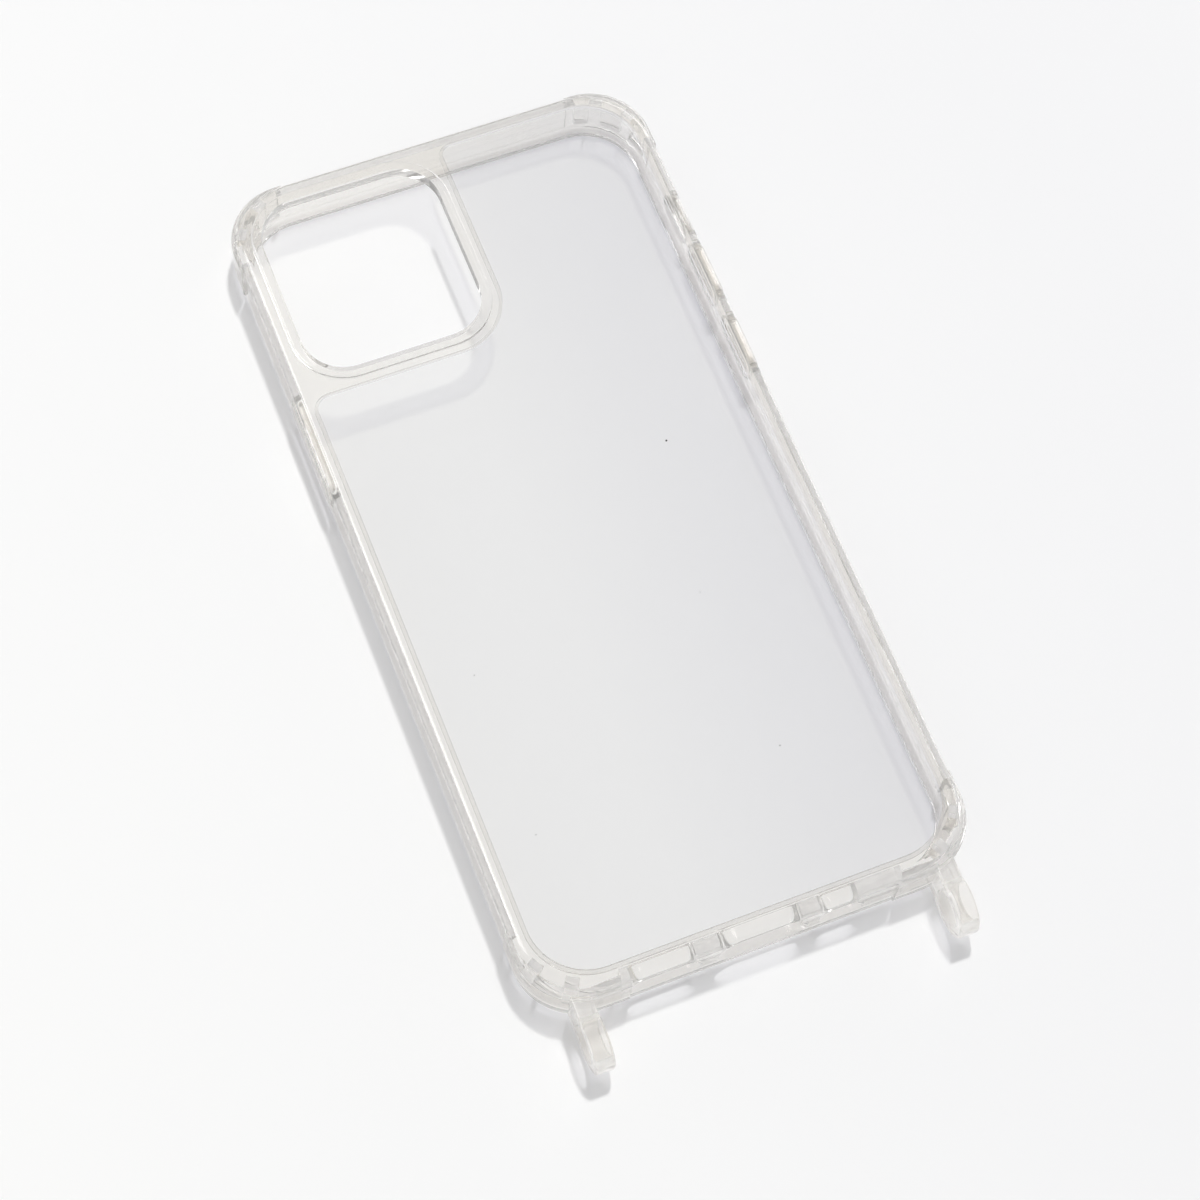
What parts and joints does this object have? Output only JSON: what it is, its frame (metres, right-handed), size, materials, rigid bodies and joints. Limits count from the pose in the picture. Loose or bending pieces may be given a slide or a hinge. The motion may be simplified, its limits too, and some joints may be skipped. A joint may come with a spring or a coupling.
{
  "type": "phone case",
  "caption": "Clear phone case: hard back panel in a flexible cushioned bumper with camera cut-out, button covers and strap loops.",
  "frame": {"origin": "centre of the bounding box's bottom face, on the surface that the front lip rests on, with the case's back face up", "axes": "+Z out of the case's back, +Y towards its top end (the camera end), +X to the right as seen from the back"},
  "size_m": [0.0756, 0.1624, 0.0113],
  "materials": {
    "clear_tpu": "clear flexible polyurethane, glossy",
    "clear_hard_panel": "clear hard polycarbonate, polished"
  },
  "bodies": {
    "case": {"bumper_frame": "clear_tpu", "back_panel": "clear_hard_panel", "lanyard_loop_left": "clear_tpu", "lanyard_loop_right": "clear_tpu"},
    "power_button": {"power_button_cover": "clear_tpu"},
    "volume_up_button": {"volume_up_cover": "clear_tpu"},
    "volume_down_button": {"volume_down_cover": "clear_tpu"}
  },
  "joints": [
    {"name": "power_press", "type": "slide", "parent": "case", "child": "power_button", "axis": [1, 0, 0], "range_m": [0, 0.0004], "stiffness_N_per_m": 2500, "springref_m": -0.0001},
    {"name": "volume_up_press", "type": "slide", "parent": "case", "child": "volume_up_button", "axis": [-1, 0, 0], "range_m": [0, 0.0004], "stiffness_N_per_m": 2500, "springref_m": -0.0001},
    {"name": "volume_down_press", "type": "slide", "parent": "case", "child": "volume_down_button", "axis": [-1, 0, 0], "range_m": [0, 0.0004], "stiffness_N_per_m": 2500, "springref_m": -0.0001}
  ]
}
